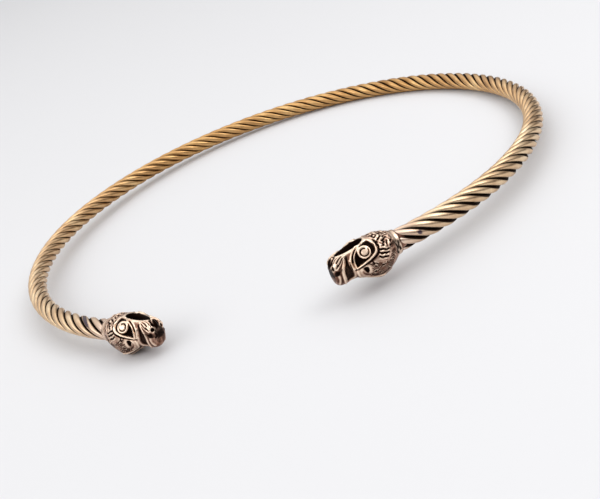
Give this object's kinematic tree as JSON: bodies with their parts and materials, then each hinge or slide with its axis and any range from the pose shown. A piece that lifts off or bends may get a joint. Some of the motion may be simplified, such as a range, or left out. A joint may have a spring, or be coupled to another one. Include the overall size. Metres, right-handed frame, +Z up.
{
  "type": "twisted wire neck torc with beast head terminals",
  "caption": "Rigid open neck ring of twisted wires round a core wire, with a cast beast head soldered over each end.",
  "frame": {"origin": "centre of the bounding box, on the surface that the torc rests on", "axes": "+X across the ring from the left terminal to the right, +Y from the opening to the back of the neck, +Z up through the ring as it lies"},
  "size_m": [0.1448, 0.1372, 0.0116],
  "materials": {
    "aged_brass_wire": "aged, rubbed bright on the crests and dark in the grooves",
    "antiqued_bronze_casting": "cast, blackened in the recesses and polished on the relief"
  },
  "bodies": {
    "root": {"strand_1": "aged_brass_wire", "strand_2": "aged_brass_wire", "strand_3": "aged_brass_wire", "strand_4": "aged_brass_wire", "strand_5": "aged_brass_wire", "strand_6": "aged_brass_wire", "core_wire": "aged_brass_wire", "left_head": "antiqued_bronze_casting", "right_head": "antiqued_bronze_casting"}
  },
  "joints": []
}
